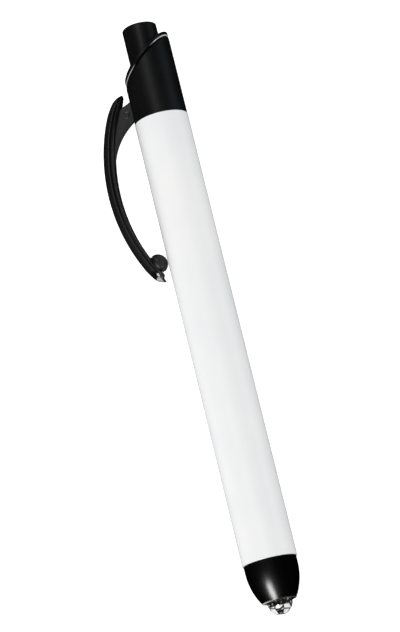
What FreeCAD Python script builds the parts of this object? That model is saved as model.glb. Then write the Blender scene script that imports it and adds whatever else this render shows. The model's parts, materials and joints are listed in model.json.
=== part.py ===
import FreeCAD, Part
import math
import os
import re
import Sketcher

# A pocket penlight lying on a table.
#
# Every piece is drawn in the pen's own frame and then laid down with one placement:
#   local Z runs along the pen, from the apex of the bulb's lens (0) to the button's end,
#   local X points from the pen's axis to the pocket clip,
#   local Y is across the clip.
# Sizes are millimetres. The driving dimensions are in the sheet "Dims"; every sketch,
# pad and helix below reads them from there.

DIMENSIONS = [
    # alias, value, meaning
    ("barrel_radius", 6.4, "outside of the tube"),
    ("barrel_wall", 0.8, "tube wall"),
    ("barrel_length", 107.1, "visible length of the tube"),
    ("barrel_edge", 0.15, "rounding of the tube's ends"),
    ("lens_proud", 3.1, "lens apex beyond the nose cone's rim"),
    ("lens_radius", 2.9, "bulb glass and its spherical end"),
    ("nose_length", 9.2, "visible length of the nose cone"),
    ("nose_radius", 6.1, "nose cone at the tube"),
    ("nose_ogive", 14.5, "radius of the nose cone's curved flank"),
    ("nose_straight", 1.5, "cylindrical stretch of the nose cone next to the tube"),
    ("nose_rim_radius", 3.9, "nose cone at its rim"),
    ("nose_rim_round", 0.22, "rounding of the rim"),
    ("nose_bore", 3.35, "bore around the bulb"),
    ("nose_cavity", 4.2, "wider bore behind the lamp shoulder"),
    ("spigot_length", 5.1, "threaded spigot inside the tube"),
    ("screw_clearance", 0.05, "radial clearance of the nose spigot"),
    ("holder_front", 3.8, "front edge of the lamp holder"),
    ("holder_inner", 2.97, "lamp holder around the glass"),
    ("holder_nose_outer", 3.3, "lamp holder inside the nose bore"),
    ("holder_shoulder", 8.45, "front face of the lamp holder's shoulder"),
    ("holder_step", 0.5, "thickness of that shoulder"),
    ("holder_body_outer", 4.15, "lamp holder behind the shoulder"),
    ("holder_body_inner", 3.75, "lamp holder's inside behind the shoulder"),
    ("holder_flange", 0.4, "thickness of the earthing flange"),
    ("flange_clearance", 0.05, "radial clearance of that flange in the tube"),
    ("washer_thickness", 0.25, "fibre washer"),
    ("washer_inner", 3.2, "fibre washer's hole"),
    ("washer_outer", 5.2, "fibre washer's outside"),
    ("glass_wall", 0.4, "bulb glass wall"),
    ("lens_depth", 2.9, "solid glass from the apex to the cavity"),
    ("shell_radius", 2.8, "bulb's brass shell"),
    ("shell_flange_radius", 3.7, "bulb's brass flange"),
    ("shell_flange", 0.4, "thickness of the bulb's flange"),
    ("shell_length", 6.45, "shell behind the flange"),
    ("shell_wall", 0.3, "shell wall"),
    ("base_glass_radius", 2.2, "black glass at the end of the base"),
    ("base_glass", 0.7, "black glass stands out by this much"),
    ("tip_radius", 1.1, "solder contact"),
    ("tip_height", 0.75, "solder contact's height"),
    ("bead_radius", 0.75, "glass bead on the lead wires"),
    ("bead_height", 1.0, "length of the bead"),
    ("bead_centre", 7.6, "height of the bead's middle"),
    ("lead_radius", 0.13, "lead wire"),
    ("lead_spread", 0.55, "each lead wire's distance from the axis"),
    ("filament_height", 5.4, "filament above the apex plane"),
    ("filament_coil", 0.2, "filament coil radius"),
    ("filament_wire", 0.05, "filament wire radius"),
    ("filament_pitch", 0.2, "filament coil pitch"),
    ("cell_length", 44.5, "AAA cell with its cap"),
    ("cell_radius", 5.1, "cell can"),
    ("cell_cap_height", 1.0, "positive cap beyond the can"),
    ("cell_cap_radius", 1.9, "positive cap's nipple"),
    ("cell_cap_base", 3.3, "positive cap's base plate"),
    ("cell_cap_plate", 0.3, "thickness of that plate"),
    ("jacket_thickness", 0.14, "shrink jacket"),
    ("jacket_lip", 0.8, "width of the jacket's folded lip"),
    ("housing_radius", 6.3, "switch housing"),
    ("housing_spigot_radius", 5.57, "housing spigot pressed into the tube"),
    ("housing_spigot", 7.0, "length of that spigot"),
    ("chamber_radius", 4.9, "switch chamber"),
    ("chamber_top", 7.95, "ceiling of the chamber above the tube's end"),
    ("guide_radius", 2.25, "bore that guides the stem"),
    ("slant_height", 14.0, "slanted top on the axis, above the tube's end"),
    ("slant_slope", 0.786, "fall of the slanted top towards the clip, mm per mm"),
    ("button_gap", 0.6, "gap under the flange, along the axis"),
    ("flange_radius", 6.25, "button flange"),
    ("flange_thickness", 1.3, "flange along the axis"),
    ("flange_slope", 0.754, "fall of the flange's top towards the clip, mm per mm"),
    ("flange_bevel", 0.22, "polished bevel round the flange"),
    ("button_radius", 4.12, "push button"),
    ("button_height", 23.55, "button's end above the tube's end"),
    ("button_round", 0.4, "rounding of the button's end"),
    ("stem_radius", 2.2, "stem"),
    ("stem_end", 4.1, "stem's end below the tube's end"),
    ("key_width", 1.0, "key that stops the slanted flange turning"),
    ("key_reach", 2.9, "key's distance from the axis"),
    ("key_bottom", 9.0, "lower end of the key above the tube's end"),
    ("key_top", 15.6, "upper end of the key above the tube's end"),
    ("key_clearance", 0.1, "clearance round the key"),
    ("groove_radius", 1.7, "stem groove for the retaining clip"),
    ("clip_ring_thickness", 0.5, "retaining clip"),
    ("clip_ring_top", 7.92, "retaining clip's upper face"),
    ("clip_ring_outer", 3.4, "retaining clip's outside"),
    ("clip_ring_slot", 2.6, "opening of the retaining clip"),
    ("seat_top", 1.0, "spring seat's face below the tube's end"),
    ("seat_bottom", 2.2, "spring seat's underside below the tube's end"),
    ("seat_inner", 2.5, "spring seat's hole"),
    ("return_wire", 0.25, "return spring wire radius"),
    ("return_coil", 3.0, "return spring coil radius"),
    ("return_turns", 6.5, "return spring turns"),
    ("disc_radius", 3.9, "contact disc"),
    ("disc_thickness", 0.4, "contact disc"),
    ("disc_collar_outer", 2.6, "collar that grips the stem"),
    ("disc_collar_height", 1.2, "collar's height"),
    ("contact_level", 5.05, "fixed contacts' faces below the tube's end"),
    ("contact_lip", 0.3, "thickness of the contact ring's lip"),
    ("contact_lip_inner", 3.2, "inside of that lip"),
    ("contact_ring_inner", 4.5, "contact ring's inside"),
    ("contact_ring_outer", 4.88, "contact ring's outside"),
    ("contact_flange_radius", 5.55, "contact ring's flange"),
    ("rivet_head_radius", 2.3, "centre contact's head"),
    ("rivet_head", 0.35, "centre contact's head thickness"),
    ("rivet_shank", 1.0, "centre contact's shank"),
    ("rivet_base_radius", 4.2, "centre contact's spring plate"),
    ("rivet_base", 0.3, "spring plate's thickness"),
    ("insulator_radius", 4.45, "contact insulator"),
    ("battery_wire", 0.3, "battery spring wire radius"),
    ("battery_coil_rear", 3.7, "battery spring's wide end"),
    ("battery_coil_taper", 14.0, "battery spring's cone angle in degrees"),
    ("battery_turns", 4.0, "battery spring turns"),
    ("strap_outer_arc", 45.2, "clip's outer curve"),
    ("strap_inner_arc", 42.5, "clip's inner curve"),
    ("strap_width", 4.4, "clip's width at the edge of its crowned face"),
    ("strap_inner_width", 2.2, "clip's width at its inner face"),
    ("strap_crown", 1.75, "height of the clip's crowned outer face"),
    ("crown_arc", 2.3, "radius of that crown across the strap"),
    ("strap_trim", 0.6, "the outline's inner edge lies this far inside the strap"),
    ("end_arc", 2.45, "rounding of the strap's two ends, seen from outside"),
    ("end_half_width", 2.4, "half width at which that rounding starts"),
    ("tail_shoulder", 6.5, "where the tail's rounding starts, above the tube's end"),
    ("tip_shoulder", 36.2, "where the tip's rounding starts, below the tube's end"),
    ("tip_curve", 5.0, "outer curve of the strap's tip"),
    ("tip_nib", 0.45, "rounding at the very tip"),
    ("tail_curve", 4.0, "outer curve of the thumb tail"),
    ("tail_nib", 0.4, "rounding at the end of the tail"),
    ("bow_centre", 28.7, "centre of the clip's curve, beyond the pen's axis"),
    ("bow_drop", 14.5, "that centre below the tube's end"),
    ("bow_angle", 66.0, "sweep of the clip's curve in degrees"),
    ("web_thickness", 1.2, "web between clip and housing"),
    ("web_arc", 13.6, "web's concave lower edge"),
    ("web_gap", 0.05, "gap between web and housing"),
    ("web_root", 1.2, "web's lower end at the housing, above the tube's end"),
    ("hinge_height", 6.32, "web's upper end at the housing, where the clip flexes"),
    ("pad_width", 3.0, "raised pad under the dome"),
    ("dome_radius", 2.35, "dome that presses the cloth"),
    ("dome_across", 8.85, "dome's centre from the pen's axis"),
    ("dome_drop", 33.42, "dome's centre below the tube's end"),
    ("fit_gap", 0.05, "gap between pieces that only rest side by side"),
    ("spring_gap", 0.03, "gap at each end of a spring, and round the retaining clip"),
    ("cavity_taper", 0.6, "depth of the cone at the front of the bulb's cavity"),
    ("stem_root", 3.0, "stem starts this far under the button's end"),
    ("key_root", 2.0, "key runs this far into the flange"),
    ("lying_angle", 16.93, "clip's droop below the horizontal as the pen lies, degrees"),
]

# Corners of the pocket clip, seen from its side.
CLIP_POINTS = [
    # name, distance from the pen's axis, height above the tube's rear end, meaning
    ("neck", 8.12, 5.5, "strap beside the notch, inside its inner face"),
    ("pocket", 7.4, -35.9, "strap under the dome, inside its inner face"),
    ("hook", 8.05, -37.6, "inner end of the tip"),
    ("nib", 8.15, -38.1, "very tip"),
    ("toe", 10.95, -36.15, "outer end of the tip's curve"),
    ("heel", 11.35, 5.9, "lower end of the tail's curve"),
    ("crest", 8.1, 8.4, "top of the tail"),
    ("beak", 7.7, 8.05, "inner end of the tail"),
    ("web_foot", 13.15, -9.5, "end of the web's concave edge"),
    ("web_back", 14.4, -9.5, "web inside the strap, lower end"),
    ("web_middle", 13.2, -3.0, "web inside the strap, half way"),
    ("web_top", 9.6, 5.2, "web inside the strap, upper end"),
    ("notch", 8.4, 5.5, "bottom of the notch between web and tail"),
    ("pad_back", 10.9, -31.6, "pad inside the strap, upper end"),
    ("pad_top", 9.75, -31.7, "pad's upper corner"),
    ("pad_side", 7.95, -35.1, "pad's corner beside the dome"),
    ("pad_foot", 8.6, -36.15, "pad's lower corner"),
    ("pad_end", 9.5, -36.1, "pad inside the strap, lower end"),
]

# Stations along the pen, as formulas of the sheet's cells.
RIM = "lens_proud"
FRONT = "lens_proud + nose_length"
REAR = "lens_proud + nose_length + barrel_length"
SPIGOT_END = FRONT + " + spigot_length"
FLANGE_END = SPIGOT_END + " + holder_flange"
BULB_FLANGE = "holder_shoulder + holder_step"
SHELL_FRONT = BULB_FLANGE + " + shell_flange"
SHELL_END = SHELL_FRONT + " + shell_length"
TIP_START = SHELL_END + " + base_glass"
TIP_END = TIP_START + " + tip_height"
BORE = "barrel_radius - barrel_wall"
GUIDE_FOOT = REAR + " + chamber_top"
CONTACT_FACE = REAR + " - contact_level"
CONTACT_FOOT = REAR + " - housing_spigot"
INSULATOR_FOOT = CONTACT_FOOT + " - contact_lip"

TOP_MARGIN = 12.0
CUT_REACH = 9.0
CLIP_REACH = 20.0
ROWS = list(DIMENSIONS)
for point, out, up, meaning in CLIP_POINTS:
    ROWS.append((point + "_out", out, meaning + ", from the axis"))
    ROWS.append((point + "_up", up, meaning + ", above the tube's end"))
ALIASES = {alias for alias, _value, _meaning in ROWS}

doc = FreeCAD.newDocument("Penlight")
dims = doc.addObject("Spreadsheet::Sheet", "Dims")


def fill_sheet():
    """Write the driving dimensions into the sheet, one row each."""
    for row, (alias, value, meaning) in enumerate(ROWS, start=1):
        dims.set("A%d" % row, alias)
        dims.set("B%d" % row, str(value))
        dims.set("C%d" % row, meaning)
        dims.setAlias("B%d" % row, alias)
    doc.recompute()


def size(formula):
    """The present value of a formula written with the sheet's aliases."""
    return float(dims.evalExpression(formula))


def bound(formula):
    """The same formula as another object has to write it, with the sheet's name."""
    return re.sub(
        "[a-z_]+",
        lambda word: "Dims." + word[0] if word[0] in ALIASES else word[0],
        formula,
    )


def below(offset):
    """A station this far below the tube's rear end (towards the lens)."""
    return "%s - (%s)" % (REAR, offset)


def above(offset):
    """A station this far above the tube's rear end (towards the button)."""
    return "%s + (%s)" % (REAR, offset)


def clip_point(name):
    """A named corner of the clip as (across, along) for an outline."""
    return name + "_out", above(name + "_up")


def origin_plane(body, role):
    """One of a body's own origin planes."""
    return [item for item in body.Origin.OriginFeatures if item.Role == role][0]


def settle(feature):
    """Recompute, and stop if the feature just added came out empty."""
    doc.recompute()
    if feature.Shape.isNull() or not feature.Shape.Solids:
        raise RuntimeError("nothing made by " + feature.Name)
    return feature


def new_body(name):
    """An empty body whose label names the piece."""
    body = doc.addObject("PartDesign::Body", name)
    body.Label = name
    return body


def new_sketch(body, name, plane="XZ_Plane"):
    """An empty sketch on one of the body's origin planes."""
    sketch = body.newObject("Sketcher::SketchObject", body.Name + "_" + name)
    sketch.AttachmentSupport = [(origin_plane(body, plane), "")]
    sketch.MapMode = "FlatFace"
    return sketch


def bulge_point(start, end, radius, side):
    """Middle of the arc from start to end that bulges to the left (1) or right (-1)."""
    chord = end - start
    half = chord.Length / 2
    rise = radius - math.sqrt(radius * radius - half * half)
    left = FreeCAD.Vector(-chord.y, chord.x, 0).normalize()
    return (start + end) * 0.5 + left * (rise * side)


def draw_outline(sketch, corners):
    """Draw a closed outline and bind every corner and arc radius to the sheet.

    A corner is (across, along), and a corner reached by an arc is
    (across, along, radius, side): all formulas but side, which is 1 or -1.
    """
    points = [FreeCAD.Vector(size(c[0]), size(c[1]), 0) for c in corners]
    count = len(corners)
    edges = []
    for index in range(count):
        start = points[index]
        end = points[(index + 1) % count]
        arrival = corners[(index + 1) % count]
        if len(arrival) == 4:
            middle = bulge_point(start, end, size(arrival[2]), arrival[3])
            edges.append(Part.Arc(start, middle, end))
        else:
            edges.append(Part.LineSegment(start, end))
    sketch.addGeometry(edges)
    ends = [edge_ends(sketch, index, points[index]) for index in range(count)]
    for index in range(count):
        following = (index + 1) % count
        join = Sketcher.Constraint(
            "Coincident", index, ends[index][1], following, ends[following][0]
        )
        sketch.addConstraint(join)
    for index, corner in enumerate(corners):
        bind_corner(sketch, index, ends[index][0], corner)
        arrival = corners[(index + 1) % count]
        if len(arrival) == 4:
            bind_radius(sketch, index, arrival[2])


def edge_ends(sketch, index, start):
    """Which of an edge's two ends lies on start: an arc is stored anticlockwise."""
    first = sketch.getPoint(index, 1)
    if (first - start).Length < 1e-6:
        return 1, 2
    return 2, 1


def bind_corner(sketch, edge, end, corner):
    """Tie one corner's two coordinates to the sheet."""
    for kind, formula in (("DistanceX", corner[0]), ("DistanceY", corner[1])):
        tie = Sketcher.Constraint(kind, -1, 1, edge, end, size(formula))
        number = sketch.addConstraint(tie)
        sketch.setExpression("Constraints[%d]" % number, bound(formula))


def bind_radius(sketch, edge, formula):
    """Tie an arc's or a circle's radius to the sheet."""
    number = sketch.addConstraint(Sketcher.Constraint("Radius", edge, size(formula)))
    sketch.setExpression("Constraints[%d]" % number, bound(formula))


def add_turning(body, name, corners):
    """Turn an outline once round the pen's axis and add it to the body."""
    sketch = new_sketch(body, name + "_outline")
    draw_outline(sketch, corners)
    turning = body.newObject("PartDesign::Revolution", body.Name + "_" + name)
    turning.Profile = sketch
    turning.ReferenceAxis = (sketch, ["V_Axis"])
    turning.Angle = 360
    return settle(turning)


def add_slab(body, name, corners, width, kind="PartDesign::Pad"):
    """Add or cut an outline drawn in the clip's plane, evenly to both sides of it."""
    sketch = new_sketch(body, name + "_outline")
    draw_outline(sketch, corners)
    slab = body.newObject(kind, body.Name + "_" + name)
    slab.Profile = sketch
    slab.SideType = "Symmetric"
    slab.setExpression("Length", bound(width))
    return settle(slab)


def turned_body(name, corners):
    """A piece that is one turned outline."""
    body = new_body(name)
    add_turning(body, "turning", corners)
    return body


def round_edges(body, name, radius, chosen, kind="PartDesign::Fillet"):
    """Round or bevel the edges of the body's last feature that chosen picks."""
    tip = body.Tip
    picked = []
    for number, edge in enumerate(tip.Shape.Edges, start=1):
        if chosen(edge):
            picked.append("Edge%d" % number)
    if not picked:
        raise RuntimeError("no edge to round on " + body.Name)
    rounding = body.newObject(kind, body.Name + "_" + name)
    rounding.Base = (tip, picked)
    size_name = "Radius" if kind == "PartDesign::Fillet" else "Size"
    rounding.setExpression(size_name, bound(radius))
    return settle(rounding)


def is_circle(edge, radius, station):
    """True for a full circle round the pen's axis at this radius and station."""
    curve = edge.Curve
    return (
        isinstance(curve, Part.Circle)
        and abs(curve.Radius - size(radius)) < 1e-4
        and abs(curve.Center.z - size(station)) < 1e-4
    )


def ring(inner, outer, foot, top):
    """Outline of a plain ring between two stations."""
    return [(inner, foot), (outer, foot), (outer, top), (inner, top)]


def make_barrel():
    """The white tube."""
    body = turned_body("barrel_tube", ring(BORE, "barrel_radius", FRONT, REAR))
    for name, station in (("front_edge", FRONT), ("rear_edge", REAR)):
        round_edges(
            body,
            name,
            "barrel_edge",
            lambda edge: is_circle(edge, "barrel_radius", station),
        )
    return body


def make_nose_cone():
    """Tapered screw cap: curved flank outside, stepped bore and spigot inside."""
    spigot = BORE + " - screw_clearance"
    shoulder = FRONT + " - nose_straight"
    body = turned_body(
        "nose_cone",
        [
            ("nose_bore", RIM),
            ("nose_rim_radius", RIM),
            ("nose_radius", shoulder, "nose_ogive", -1),
            ("nose_radius", FRONT),
            (spigot, FRONT),
            (spigot, SPIGOT_END),
            ("nose_cavity", SPIGOT_END),
            ("nose_cavity", "holder_shoulder"),
            ("nose_bore", "holder_shoulder"),
        ],
    )
    round_edges(
        body,
        "rim",
        "nose_rim_round",
        lambda edge: is_circle(edge, "nose_rim_radius", RIM),
    )
    return body


def make_lamp_holder():
    """Brass sleeve: narrow round the glass, wide round the base, flange to the tube."""
    flange = BORE + " - flange_clearance"
    return turned_body(
        "lamp_holder",
        [
            ("holder_inner", "holder_front"),
            ("holder_nose_outer", "holder_front"),
            ("holder_nose_outer", "holder_shoulder + fit_gap"),
            ("holder_body_outer", "holder_shoulder + fit_gap"),
            ("holder_body_outer", SPIGOT_END),
            (flange, SPIGOT_END),
            (flange, FLANGE_END),
            ("holder_body_inner", FLANGE_END),
            ("holder_body_inner", BULB_FLANGE),
            ("holder_inner", BULB_FLANGE),
        ],
    )


def make_insulating_washer():
    """Fibre washer behind the lamp holder's flange."""
    top = FLANGE_END + " + washer_thickness"
    return turned_body(
        "insulating_washer", ring("washer_inner", "washer_outer", FLANGE_END, top)
    )


def make_bulb_glass():
    """Glass envelope with a thick spherical lens end, open towards its base."""
    inner = "lens_radius - glass_wall"
    return turned_body(
        "bulb_glass",
        [
            ("0", "0"),
            ("lens_radius", "lens_radius", "lens_radius", -1),
            ("lens_radius", BULB_FLANGE),
            (inner, BULB_FLANGE),
            (inner, "lens_depth + cavity_taper"),
            ("0", "lens_depth"),
        ],
    )


def make_bulb_base():
    """Brass shell with its flange, the black glass behind it and the solder tip."""
    shell = turned_body(
        "bulb_shell",
        [
            ("0", BULB_FLANGE),
            ("shell_flange_radius", BULB_FLANGE),
            ("shell_flange_radius", SHELL_FRONT),
            ("shell_radius", SHELL_FRONT),
            ("shell_radius", SHELL_END),
            ("shell_radius - shell_wall", SHELL_END),
            ("shell_radius - shell_wall", SHELL_FRONT),
            ("0", SHELL_FRONT),
        ],
    )
    glass = turned_body(
        "bulb_insulator",
        [
            ("0", SHELL_FRONT),
            ("shell_radius - shell_wall", SHELL_FRONT),
            ("shell_radius - shell_wall", SHELL_END),
            ("base_glass_radius", SHELL_END),
            ("tip_radius", TIP_START),
            ("0", TIP_START),
        ],
    )
    tip = turned_body(
        "bulb_tip_contact",
        [
            ("0", TIP_START),
            ("tip_radius", TIP_START),
            ("tip_radius", TIP_START + " + tip_height / 2"),
            ("tip_radius / 2", TIP_END),
            ("0", TIP_END),
        ],
    )
    return [shell, glass, tip]


def make_bulb_bead():
    """Small glass bead that holds the two lead wires apart."""
    foot = "bead_centre - bead_height / 2"
    top = "bead_centre + bead_height / 2"
    return turned_body(
        "bulb_bead",
        [
            ("0", foot),
            ("bead_radius", foot),
            ("bead_radius", top),
            ("0", top),
        ],
    )


def make_bulb_leads():
    """Two lead wires in front of the bead and two behind it, as one group."""
    ends = [
        ("front", "filament_height", "bead_centre - bead_height / 2"),
        ("back", "bead_centre + bead_height / 2", BULB_FLANGE),
    ]
    wires = []
    for side, sign in (("left", "-1"), ("right", "1")):
        for name, start, end in ends:
            wire = doc.addObject("Part::Cylinder", "lead_%s_%s" % (side, name))
            wire.setExpression("Radius", bound("lead_radius"))
            wire.setExpression("Height", bound("(" + end + ") - (" + start + ")"))
            wire.setExpression("Placement.Base.x", bound(sign + " * lead_spread"))
            wire.setExpression("Placement.Base.z", bound(start))
            wires.append(wire)
    group = doc.addObject("Part::Compound", "bulb_lead_wires")
    group.Label = "bulb_lead_wires"
    group.Links = wires
    doc.recompute()
    return group


def add_coil(body, name, centre, wire, pitch, height, taper=None):
    """Sweep a round wire along a helix round the pen's axis."""
    sketch = new_sketch(body, name + "_wire")
    middle = FreeCAD.Vector(size(centre[0]), size(centre[1]), 0)
    sketch.addGeometry(Part.Circle(middle, FreeCAD.Vector(0, 0, 1), size(wire)))
    bind_corner(sketch, 0, 3, centre)
    bind_radius(sketch, 0, wire)
    coil = body.newObject("PartDesign::AdditiveHelix", body.Name + "_" + name)
    coil.Profile = sketch
    coil.ReferenceAxis = (sketch, ["V_Axis"])
    coil.Mode = "pitch-height-angle"
    coil.setExpression("Pitch", bound(pitch))
    coil.setExpression("Height", bound(height))
    if taper:
        coil.setExpression("Angle", bound(taper))
    return settle(coil)


def make_filament():
    """Short coil standing between the lead wires, with its axis across the pen."""
    body = new_body("bulb_filament")
    sketch = new_sketch(body, "wire")
    sketch.setExpression("AttachmentOffset.Base.y", bound("filament_height"))
    start = FreeCAD.Vector(size("filament_coil - lead_spread"), size("filament_coil"), 0)
    sketch.addGeometry(
        Part.Circle(start, FreeCAD.Vector(0, 0, 1), size("filament_wire"))
    )
    bind_corner(sketch, 0, 3, ("filament_coil - lead_spread", "filament_coil"))
    bind_radius(sketch, 0, "filament_wire")
    coil = body.newObject("PartDesign::AdditiveHelix", "bulb_filament_coil")
    coil.Profile = sketch
    coil.ReferenceAxis = (sketch, ["H_Axis"])
    coil.Mode = "pitch-height-angle"
    coil.setExpression("Pitch", bound("filament_pitch"))
    coil.setExpression("Height", bound("2 * lead_spread - 2 * filament_coil"))
    doc.recompute()
    return body


def make_cell(place, front):
    """One AAA cell: can, positive cap and shrink jacket."""
    can_front = front + " + cell_cap_height"
    can_end = front + " + cell_length"
    step = can_front + " + cell_cap_plate"
    lip = "cell_radius - jacket_lip"
    skin = "cell_radius + jacket_thickness"
    can = turned_body(
        place + "_cell_can",
        [
            ("0", step),
            ("cell_cap_base", step),
            ("cell_cap_base", can_front),
            ("cell_radius", can_front),
            ("cell_radius", can_end),
            ("0", can_end),
        ],
    )
    cap = turned_body(
        place + "_cell_cap",
        [
            ("0", front),
            ("cell_cap_radius", front),
            ("cell_cap_radius", can_front),
            ("cell_cap_base", can_front),
            ("cell_cap_base", step),
            ("0", step),
        ],
    )
    jacket_front = can_front + " - jacket_thickness"
    jacket = turned_body(
        place + "_cell_jacket",
        [
            (lip, jacket_front),
            (skin, jacket_front),
            (skin, can_end),
            ("cell_radius", can_end),
            ("cell_radius", can_front),
            (lip, can_front),
        ],
    )
    return [can, cap, jacket]


def slanted_cut(body, name, lift, slope):
    """Remove everything above the slanted plane that crosses the axis at lift."""
    reach = str(CUT_REACH)
    top = above("button_height + " + str(TOP_MARGIN))
    return add_slab(
        body,
        name,
        [
            ("-" + reach, "(" + lift + ") + " + slope + " * " + reach),
            (reach, "(" + lift + ") - " + slope + " * " + reach),
            (reach, top),
            ("-" + reach, top),
        ],
        "2 * " + reach,
        "PartDesign::Pocket",
    )


def make_switch_housing():
    """Black end section: spigot in the tube, switch chamber, guide bore, slanted top."""
    body = turned_body(
        "switch_housing",
        [
            ("chamber_radius", CONTACT_FOOT),
            ("housing_spigot_radius", CONTACT_FOOT),
            ("housing_spigot_radius", REAR),
            ("housing_radius", REAR),
            ("housing_radius", above("button_height")),
            ("guide_radius", above("button_height")),
            ("guide_radius", GUIDE_FOOT),
            ("chamber_radius", GUIDE_FOOT),
        ],
    )
    slanted_cut(body, "slant", above("slant_height"), "slant_slope")
    slot = "key_reach + key_clearance"
    add_slab(
        body,
        "keyway",
        [
            ("-1 * (" + slot + ")", GUIDE_FOOT),
            ("0", GUIDE_FOOT),
            ("0", above("button_height")),
            ("-1 * (" + slot + ")", above("button_height")),
        ],
        "key_width + 2 * key_clearance",
        "PartDesign::Pocket",
    )
    return body


def make_push_button():
    """Button, slanted flange, stem and key in one moulding."""
    underside = above("slant_height + button_gap")
    body = new_body("push_button")
    blank_foot = above("slant_height - barrel_radius")
    add_turning(
        body,
        "flange_blank",
        [
            ("0", blank_foot),
            ("flange_radius", blank_foot),
            ("flange_radius", above("button_height")),
            ("0", above("button_height")),
        ],
    )
    slanted_cut(body, "flange_top", underside + " + flange_thickness", "flange_slope")
    add_turning(
        body,
        "cap",
        [
            ("0", blank_foot),
            ("button_radius", blank_foot),
            ("button_radius", above("button_height")),
            ("0", above("button_height")),
        ],
    )
    reach = str(CUT_REACH)
    foot = above("0 - " + reach)
    add_slab(
        body,
        "flange_underside",
        [
            ("-" + reach, foot),
            (reach, foot),
            (reach, "(" + underside + ") - slant_slope * " + reach),
            ("-" + reach, "(" + underside + ") + slant_slope * " + reach),
        ],
        "2 * " + reach,
        "PartDesign::Pocket",
    )
    round_edges(
        body,
        "bevel",
        "flange_bevel",
        is_flange_edge,
        "PartDesign::Chamfer",
    )
    round_edges(
        body,
        "end",
        "button_round",
        lambda edge: is_circle(edge, "button_radius", above("button_height")),
    )
    ring_foot = above("clip_ring_top - clip_ring_thickness - fit_gap")
    ring_head = above("clip_ring_top + spring_gap")
    add_turning(
        body,
        "stem",
        [
            ("0", below("stem_end")),
            ("stem_radius", below("stem_end")),
            ("stem_radius", ring_foot),
            ("groove_radius", ring_foot),
            ("groove_radius", ring_head),
            ("stem_radius", ring_head),
            ("stem_radius", above("button_height - stem_root")),
            ("0", above("button_height - stem_root")),
        ],
    )
    add_slab(
        body,
        "key",
        [
            ("-1 * key_reach", above("key_bottom")),
            ("0", above("key_bottom")),
            ("0", above("key_top + key_root")),
            ("-1 * key_reach", above("key_top + key_root")),
        ],
        "key_width",
    )
    return body


def is_flange_edge(edge):
    """True for the slanted ellipses round the outside of the button's flange."""
    if not isinstance(edge.Curve, Part.Ellipse):
        return False
    return abs(edge.Curve.MinorRadius - size("flange_radius")) < 1e-3


def make_retaining_clip():
    """Open spring clip in the stem's groove, under the chamber's ceiling."""
    body = new_body("retaining_clip")
    top = above("clip_ring_top")
    foot = above("clip_ring_top - clip_ring_thickness")
    add_turning(
        body, "ring", ring("groove_radius + spring_gap", "clip_ring_outer", foot, top)
    )
    add_slab(
        body,
        "opening",
        [
            ("0", above("clip_ring_top - 1")),
            ("clip_ring_outer + 1", above("clip_ring_top - 1")),
            ("clip_ring_outer + 1", above("clip_ring_top + 1")),
            ("0", above("clip_ring_top + 1")),
        ],
        "clip_ring_slot",
        "PartDesign::Pocket",
    )
    return body


def make_spring_seat():
    """Plastic ring that the return spring stands on."""
    return turned_body(
        "spring_seat",
        ring(
            "seat_inner",
            "chamber_radius - spring_gap",
            below("seat_bottom"),
            below("seat_top"),
        ),
    )


def make_return_spring():
    """Coil spring round the stem that lifts the button."""
    body = new_body("return_spring")
    foot = "(" + below("seat_top") + ") + return_wire + spring_gap"
    top = above("clip_ring_top - clip_ring_thickness - return_wire - spring_gap")
    height = "(" + top + ") - (" + foot + ")"
    add_coil(
        body,
        "coil",
        ("return_coil", foot),
        "return_wire",
        "(" + height + ") / return_turns",
        height,
    )
    return body


def make_contact_disc():
    """Disc on the stem's end; its collar grips the stem."""
    foot = below("stem_end + disc_thickness")
    top = below("stem_end")
    collar_top = below("stem_end - disc_collar_height")
    return turned_body(
        "contact_disc",
        [
            ("0", foot),
            ("disc_radius", foot),
            ("disc_radius", top),
            ("disc_collar_outer", top),
            ("disc_collar_outer", collar_top),
            ("stem_radius", collar_top),
            ("stem_radius", top),
            ("0", top),
        ],
    )


def make_contact_ring():
    """Earthing ring: lip under the disc, wall in the spigot, flange to the tube."""
    lip_foot = below("contact_level + contact_lip")
    return turned_body(
        "contact_ring",
        [
            ("contact_lip_inner", lip_foot),
            ("contact_ring_inner", lip_foot),
            ("contact_ring_inner", INSULATOR_FOOT),
            ("contact_flange_radius", INSULATOR_FOOT),
            ("contact_flange_radius", CONTACT_FOOT),
            ("contact_ring_outer", CONTACT_FOOT),
            ("contact_ring_outer", CONTACT_FACE),
            ("contact_lip_inner", CONTACT_FACE),
        ],
    )


def make_contact_insulator():
    """Nylon disc inside the contact ring that carries the centre contact."""
    top = below("contact_level + rivet_head")
    return turned_body(
        "contact_insulator", ring("rivet_shank", "insulator_radius", INSULATOR_FOOT, top)
    )


def make_centre_contact():
    """Rivet: head under the disc, shank through the nylon, plate for the spring."""
    head_foot = below("contact_level + rivet_head")
    plate_foot = INSULATOR_FOOT + " - rivet_base"
    return turned_body(
        "centre_contact",
        [
            ("0", plate_foot),
            ("rivet_base_radius", plate_foot),
            ("rivet_base_radius", INSULATOR_FOOT),
            ("rivet_shank", INSULATOR_FOOT),
            ("rivet_shank", head_foot),
            ("rivet_head_radius", head_foot),
            ("rivet_head_radius", CONTACT_FACE),
            ("0", CONTACT_FACE),
        ],
    )


def make_battery_spring(cells_end):
    """Conical spring between the rear cell and the centre contact.

    It is wound from its wide end, at the contact, down to its narrow end.
    """
    body = new_body("battery_spring")
    foot = "(" + cells_end + ") + battery_wire + spring_gap"
    top = "(" + INSULATOR_FOOT + " - rivet_base) - battery_wire - spring_gap"
    height = "(" + top + ") - (" + foot + ")"
    add_coil(
        body,
        "coil",
        ("battery_coil_rear", top),
        "battery_wire",
        "(" + height + ") / battery_turns",
        height,
        "battery_coil_taper",
    )
    return body


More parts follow.
